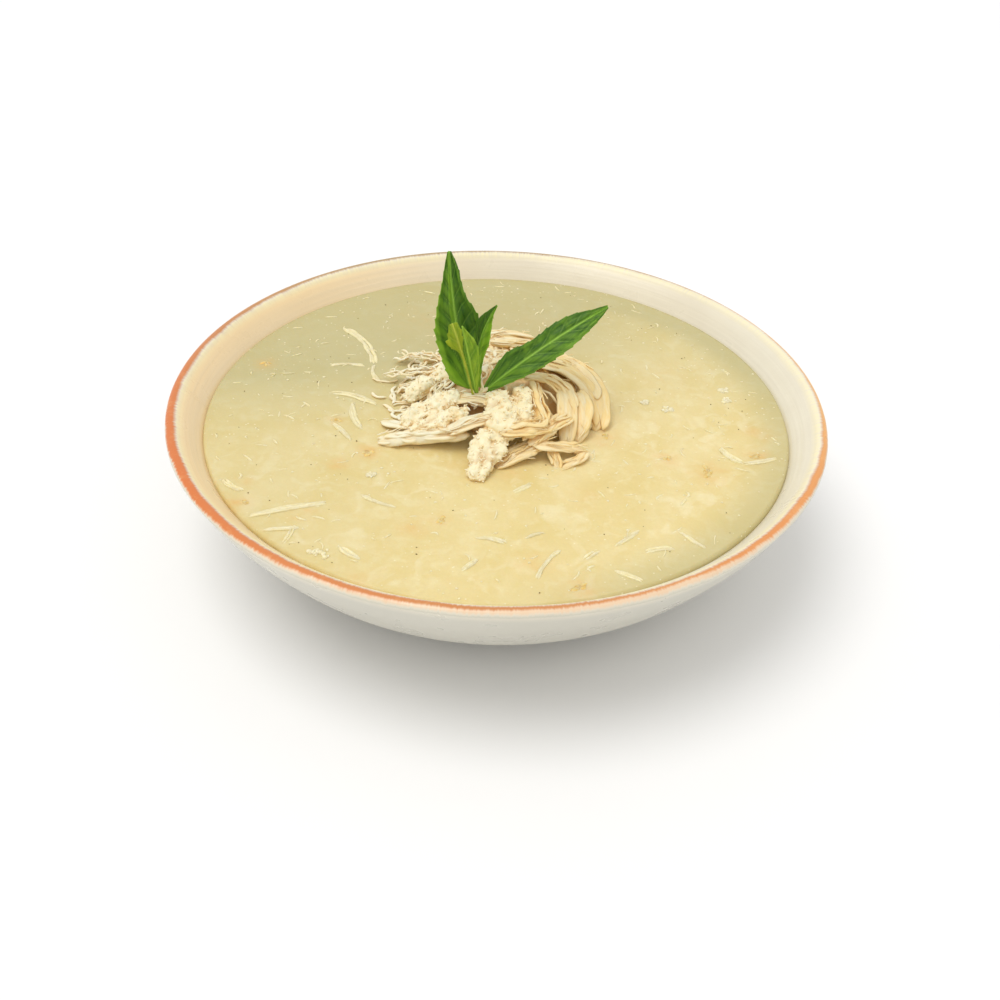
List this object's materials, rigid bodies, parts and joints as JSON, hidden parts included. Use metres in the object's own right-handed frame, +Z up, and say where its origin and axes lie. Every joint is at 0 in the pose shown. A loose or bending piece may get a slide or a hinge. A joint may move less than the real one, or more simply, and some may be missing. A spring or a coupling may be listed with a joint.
{
  "type": "bowl of creamy chicken soup",
  "caption": "Shallow stoneware bowl filled with pale creamy soup, with a heap of shredded chicken and a sprig of mint leaves in the middle.",
  "frame": {"origin": "on the bowl's axis, in the plane that its foot stands on", "axes": "+Z up; +X to the viewer's right and +Y away from the viewer of the picture's side, the side opposite the heap's front tuft"},
  "size_m": [0.23, 0.23, 0.1048],
  "materials": {
    "bowl": "cream glaze, orange-brown where it thins over the rim",
    "soup": "thick pale cream-yellow soup with a soft wet sheen",
    "chicken": "moist fibrous cooked chicken, cream to pale peach",
    "leaf": "bright to dark green mint leaf with lighter veins",
    "young_leaf": "yellow-green young leaf and stem"
  },
  "bodies": {
    "root": {"bowl": "bowl", "soup": "soup", "chicken_heap": "chicken", "stem": "young_leaf", "leaf_tall": "leaf", "leaf_right": "leaf", "leaf_folded": "leaf", "leaf_inner": "leaf", "leaf_young": "young_leaf"}
  },
  "joints": []
}
